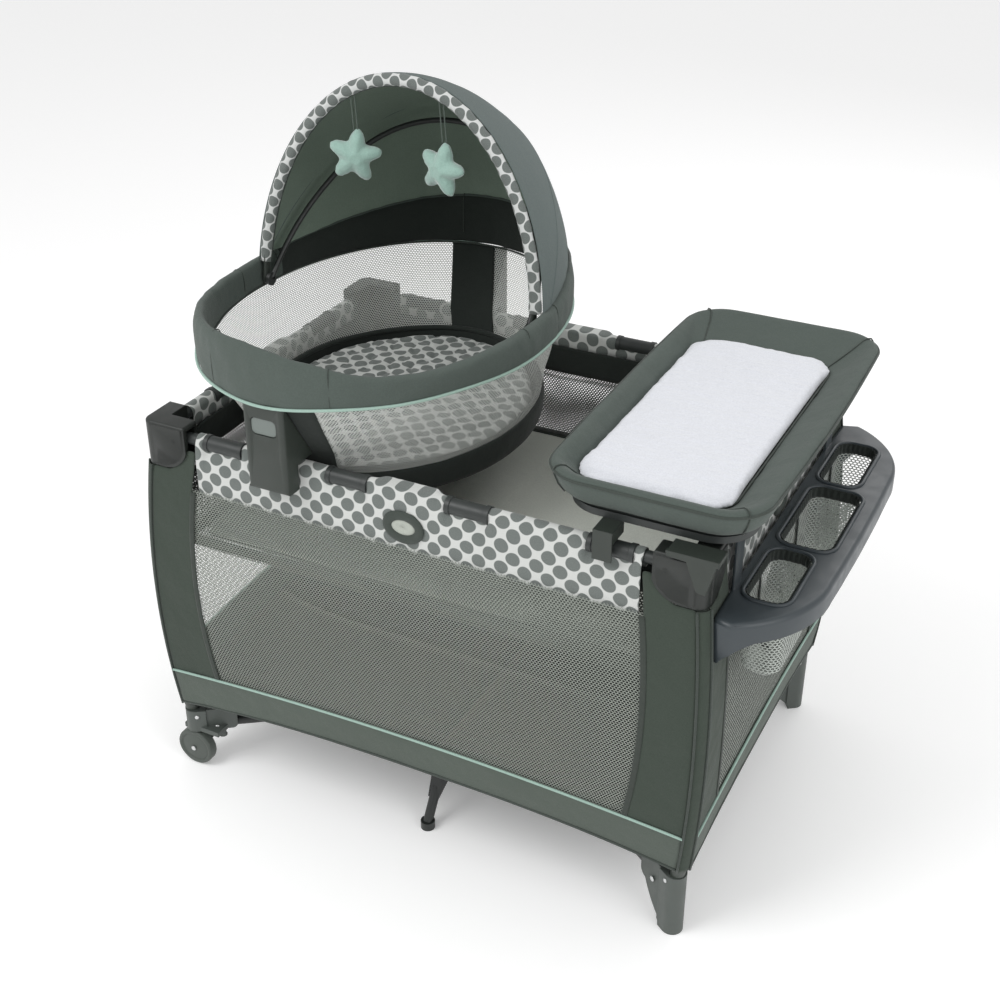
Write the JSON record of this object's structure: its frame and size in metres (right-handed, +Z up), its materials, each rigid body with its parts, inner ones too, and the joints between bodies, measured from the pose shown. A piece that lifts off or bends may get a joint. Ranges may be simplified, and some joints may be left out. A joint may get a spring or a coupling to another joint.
{
  "type": "travel play yard",
  "caption": "Folding travel play yard with mesh walls, lift-out domed bassinet, clip-on changing table and side organizer with net pockets.",
  "frame": {"origin": "on the floor, under the centre of the whole object's bounding box", "axes": "+X along the long side towards the organizer end, +Y from the front towards the canopy side, +Z up"},
  "size_m": [1.1629, 0.79, 1.2436],
  "materials": {
    "frame_tube": "satin powder coat",
    "black_tube": "satin powder coat",
    "dark_plastic": "fine moulded grain",
    "black_plastic": "fine moulded grain",
    "blue_plastic": "smooth moulded satin",
    "button_plastic": "satin",
    "wheel_plastic": "satin moulded",
    "grey_fabric": "plain polyester weave",
    "mattress_fabric": "plain brushed polyester",
    "dotted_fabric": "printed dots",
    "net_fabric": "open knitted mesh",
    "white_fabric": "soft brushed knit",
    "star_plush": "short pile plush"
  },
  "bodies": {
    "leg_front_left": {"leg_tube_front_left": "frame_tube", "corner_cap_front_left": "dark_plastic", "wheel_bracket_front_left": "dark_plastic"},
    "base_front_left": {"base_tube_front_left": "black_tube"},
    "leg_front_right": {"leg_tube_front_right": "frame_tube", "corner_cap_front_right": "dark_plastic", "foot_front_right": "dark_plastic"},
    "base_front_right": {"base_tube_front_right": "black_tube"},
    "leg_rear_left": {"leg_tube_rear_left": "frame_tube", "corner_cap_rear_left": "dark_plastic", "wheel_bracket_rear_left": "dark_plastic"},
    "base_rear_left": {"base_tube_rear_left": "black_tube"},
    "leg_rear_right": {"leg_tube_rear_right": "frame_tube", "corner_cap_rear_right": "dark_plastic", "foot_rear_right": "dark_plastic"},
    "base_rear_right": {"base_tube_rear_right": "black_tube"},
    "wheel_front_left": {"wheel_front_left": "wheel_plastic"},
    "wheel_rear_left": {"wheel_rear_left": "wheel_plastic"},
    "hub": {"centre_hub": "black_plastic", "yard_fabric": "grey_fabric", "raised_insert": "grey_fabric"},
    "mattress": {"mattress": "mattress_fabric"},
    "rail_front_left": {"rail_front_left": "black_plastic"},
    "rail_front_right": {"rail_front_right": "black_plastic"},
    "latch_front": {"rail_latch_front": "black_plastic"},
    "rail_rear_left": {"rail_rear_left": "black_plastic"},
    "rail_rear_right": {"rail_rear_right": "black_plastic"},
    "latch_rear": {"rail_latch_rear": "black_plastic"},
    "rail_left_front": {"rail_left_front": "black_plastic"},
    "rail_left_rear": {"rail_left_rear": "black_plastic"},
    "latch_left": {"rail_latch_left": "black_plastic"},
    "rail_right_front": {"rail_right_front": "black_plastic"},
    "rail_right_rear": {"rail_right_rear": "black_plastic"},
    "latch_right": {"rail_latch_right": "black_plastic"},
    "button_front": {"latch_button_front": "button_plastic"},
    "button_rear": {"latch_button_rear": "button_plastic"},
    "button_left": {"latch_button_left": "button_plastic"},
    "button_right": {"latch_button_right": "button_plastic"},
    "support_leg_front": {"support_leg_front": "black_tube"},
    "support_leg_rear": {"support_leg_rear": "black_tube"},
    "bassinet": {"bassinet_rim_cover": "grey_fabric", "bassinet_rim_tube": "frame_tube", "bassinet_basket": "net_fabric", "bassinet_tray": "dark_plastic", "bassinet_mattress": "dotted_fabric", "bassinet_bracket_front": "dark_plastic", "bassinet_bracket_rear": "dark_plastic", "canopy_fabric": "grey_fabric"},
    "lever_front": {"release_lever_front": "button_plastic"},
    "lever_rear": {"release_lever_rear": "button_plastic"},
    "bow_front": {"canopy_bow_front": "dotted_fabric"},
    "bow_middle": {"canopy_bow_middle": "black_tube"},
    "stars": {"hanging_stars": "star_plush"},
    "changer": {"changer_cover": "grey_fabric", "changer_pad": "white_fabric", "changer_frame": "black_plastic", "changer_arms": "dark_plastic"},
    "organizer": {"organizer_tray": "blue_plastic", "organizer_pockets": "net_fabric"}
  },
  "joints": [
    {"name": "fold", "type": "hinge", "parent": "leg_rear_left", "child": "base_rear_left", "pos_m": [-0.51239, 0.31618, 0.085], "axis": [-0.5741, -0.8188, 0], "range_deg": [0, 78], "deforming": ["yard_fabric", "raised_insert", "mattress"]},
    {"name": "hub_level", "type": "hinge", "parent": "base_rear_left", "child": "hub", "pos_m": [-0.10711, 0.03198, 0.085], "axis": [-0.5741, -0.8188, 0], "range_deg": [-80, 0]},
    {"name": "base_fold_front_left", "type": "hinge", "parent": "hub", "child": "base_front_left", "pos_m": [-0.10711, -0.03198, 0.085], "axis": [0.5741, -0.8188, 0], "range_deg": [0, 80]},
    {"name": "leg_level_front_left", "type": "hinge", "parent": "base_front_left", "child": "leg_front_left", "pos_m": [-0.51239, -0.31618, 0.085], "axis": [0.5741, -0.8188, 0], "range_deg": [-80, 0]},
    {"name": "base_fold_front_right", "type": "hinge", "parent": "hub", "child": "base_front_right", "pos_m": [-0.01589, -0.03198, 0.085], "axis": [0.5741, 0.8188, 0], "range_deg": [0, 80]},
    {"name": "leg_level_front_right", "type": "hinge", "parent": "base_front_right", "child": "leg_front_right", "pos_m": [0.38939, -0.31618, 0.085], "axis": [0.5741, 0.8188, 0], "range_deg": [-80, 0]},
    {"name": "base_fold_rear_right", "type": "hinge", "parent": "hub", "child": "base_rear_right", "pos_m": [-0.01589, 0.03198, 0.085], "axis": [-0.5741, 0.8188, 0], "range_deg": [0, 80]},
    {"name": "leg_level_rear_right", "type": "hinge", "parent": "base_rear_right", "child": "leg_rear_right", "pos_m": [0.38939, 0.31618, 0.085], "axis": [-0.5741, 0.8188, 0], "range_deg": [-80, 0]},
    {"name": "rail_front_left_fold", "type": "hinge", "parent": "leg_front_left", "child": "rail_front_left", "pos_m": [-0.4985, -0.338, 0.711], "axis": [0, 1, 0], "range_deg": [0, 80]},
    {"name": "rail_front_right_fold", "type": "hinge", "parent": "leg_front_right", "child": "rail_front_right", "pos_m": [0.3755, -0.338, 0.711], "axis": [0, -1, 0], "range_deg": [0, 80]},
    {"name": "latch_level_front", "type": "hinge", "parent": "rail_front_left", "child": "latch_front", "pos_m": [-0.09322, -0.338, 0.711], "axis": [0, 1, 0], "range_deg": [-80, 0]},
    {"name": "rail_rear_left_fold", "type": "hinge", "parent": "leg_rear_left", "child": "rail_rear_left", "pos_m": [-0.4985, 0.338, 0.711], "axis": [0, 1, 0], "range_deg": [0, 80]},
    {"name": "rail_rear_right_fold", "type": "hinge", "parent": "leg_rear_right", "child": "rail_rear_right", "pos_m": [0.3755, 0.338, 0.711], "axis": [0, -1, 0], "range_deg": [0, 80]},
    {"name": "latch_level_rear", "type": "hinge", "parent": "rail_rear_left", "child": "latch_rear", "pos_m": [-0.09322, 0.338, 0.711], "axis": [0, 1, 0], "range_deg": [-80, 0]},
    {"name": "rail_left_front_fold", "type": "hinge", "parent": "leg_front_left", "child": "rail_left_front", "pos_m": [-0.5435, -0.308, 0.711], "axis": [-1, 0, 0], "range_deg": [0, 80]},
    {"name": "rail_left_rear_fold", "type": "hinge", "parent": "leg_rear_left", "child": "rail_left_rear", "pos_m": [-0.5435, 0.308, 0.711], "axis": [1, 0, 0], "range_deg": [0, 80]},
    {"name": "latch_level_left", "type": "hinge", "parent": "rail_left_front", "child": "latch_left", "pos_m": [-0.5435, -0.0238, 0.711], "axis": [-1, 0, 0], "range_deg": [-80, 0]},
    {"name": "rail_right_front_fold", "type": "hinge", "parent": "leg_front_right", "child": "rail_right_front", "pos_m": [0.4205, -0.308, 0.711], "axis": [-1, 0, 0], "range_deg": [0, 80]},
    {"name": "rail_right_rear_fold", "type": "hinge", "parent": "leg_rear_right", "child": "rail_right_rear", "pos_m": [0.4205, 0.308, 0.711], "axis": [1, 0, 0], "range_deg": [0, 80]},
    {"name": "latch_level_right", "type": "hinge", "parent": "rail_right_front", "child": "latch_right", "pos_m": [0.4205, -0.0238, 0.711], "axis": [-1, 0, 0], "range_deg": [-80, 0]},
    {"name": "button_press_front", "type": "slide", "parent": "latch_front", "child": "button_front", "axis": [0, 1, 0], "range_m": [0, 0.004], "stiffness_N_per_m": 600},
    {"name": "button_press_rear", "type": "slide", "parent": "latch_rear", "child": "button_rear", "axis": [0, -1, 0], "range_m": [0, 0.004], "stiffness_N_per_m": 600},
    {"name": "button_press_left", "type": "slide", "parent": "latch_left", "child": "button_left", "axis": [1, 0, 0], "range_m": [0, 0.004], "stiffness_N_per_m": 600},
    {"name": "button_press_right", "type": "slide", "parent": "latch_right", "child": "button_right", "axis": [-1, 0, 0], "range_m": [0, 0.004], "stiffness_N_per_m": 600},
    {"name": "support_fold_front", "type": "hinge", "parent": "hub", "child": "support_leg_front", "pos_m": [-0.0615, -0.035, 0.085], "axis": [1, 0, 0], "range_deg": [0, 80]},
    {"name": "support_fold_rear", "type": "hinge", "parent": "hub", "child": "support_leg_rear", "pos_m": [-0.0615, 0.035, 0.085], "axis": [-1, 0, 0], "range_deg": [0, 80]},
    {"name": "wheel_spin_front_left", "type": "hinge", "parent": "leg_front_left", "child": "wheel_front_left", "pos_m": [-0.5435, -0.345, 0.038], "axis": [0, 1, 0], "continuous": true},
    {"name": "wheel_spin_rear_left", "type": "hinge", "parent": "leg_rear_left", "child": "wheel_rear_left", "pos_m": [-0.5435, 0.345, 0.038], "axis": [0, 1, 0], "continuous": true},
    {"name": "mattress_lift", "type": "slide", "parent": "hub", "child": "mattress", "axis": [0, 0, 1], "range_m": [0, 0.12]},
    {"name": "bassinet_lift", "type": "slide", "parent": "hub", "child": "bassinet", "axis": [0, 0, 1], "range_m": [0, 0.3]},
    {"name": "lever_squeeze_front", "type": "slide", "parent": "bassinet", "child": "lever_front", "axis": [0, 1, 0], "range_m": [0, 0.004], "stiffness_N_per_m": 600},
    {"name": "lever_squeeze_rear", "type": "slide", "parent": "bassinet", "child": "lever_rear", "axis": [0, -1, 0], "range_m": [0, 0.004], "stiffness_N_per_m": 600},
    {"name": "canopy_fold", "type": "hinge", "parent": "bassinet", "child": "bow_front", "pos_m": [-0.2835, 0.012, 0.858], "axis": [-1, 0, 0], "range_deg": [0, 45], "deforming": ["canopy_fabric"]},
    {"name": "middle_bow_fold", "type": "hinge", "parent": "bassinet", "child": "bow_middle", "pos_m": [-0.2835, 0.012, 0.858], "axis": [-1, 0, 0], "range_deg": [0, 30]},
    {"name": "star_swing", "type": "hinge", "parent": "bow_front", "child": "stars", "pos_m": [-0.2835, 0.05628, 1.21862], "axis": [-1, 0, 0], "range_deg": [-40, 0]},
    {"name": "changer_lift", "type": "slide", "parent": "hub", "child": "changer", "axis": [0, 0, 1], "range_m": [0, 0.25]},
    {"name": "organizer_unhook", "type": "slide", "parent": "hub", "child": "organizer", "axis": [0, 0, 1], "range_m": [0, 0.014]}
  ],
  "couplings": [
    {"joint": "hub_level", "follows": "fold", "ratio": -1},
    {"joint": "base_fold_front_left", "follows": "fold", "ratio": 1},
    {"joint": "leg_level_front_left", "follows": "fold", "ratio": -1},
    {"joint": "base_fold_front_right", "follows": "fold", "ratio": 1},
    {"joint": "leg_level_front_right", "follows": "fold", "ratio": -1},
    {"joint": "base_fold_rear_right", "follows": "fold", "ratio": 1},
    {"joint": "leg_level_rear_right", "follows": "fold", "ratio": -1},
    {"joint": "rail_front_left_fold", "follows": "fold", "ratio": 1},
    {"joint": "rail_front_right_fold", "follows": "fold", "ratio": 1},
    {"joint": "latch_level_front", "follows": "fold", "ratio": -1},
    {"joint": "rail_rear_left_fold", "follows": "fold", "ratio": 1},
    {"joint": "rail_rear_right_fold", "follows": "fold", "ratio": 1},
    {"joint": "latch_level_rear", "follows": "fold", "ratio": -1},
    {"joint": "rail_left_front_fold", "follows": "fold", "ratio": 1},
    {"joint": "rail_left_rear_fold", "follows": "fold", "ratio": 1},
    {"joint": "latch_level_left", "follows": "fold", "ratio": -1},
    {"joint": "rail_right_front_fold", "follows": "fold", "ratio": 1},
    {"joint": "rail_right_rear_fold", "follows": "fold", "ratio": 1},
    {"joint": "latch_level_right", "follows": "fold", "ratio": -1},
    {"joint": "support_fold_front", "follows": "fold", "ratio": 1},
    {"joint": "support_fold_rear", "follows": "fold", "ratio": 1},
    {"joint": "middle_bow_fold", "follows": "canopy_fold", "ratio": 0.5},
    {"joint": "star_swing", "follows": "canopy_fold", "ratio": -0.75}
  ]
}
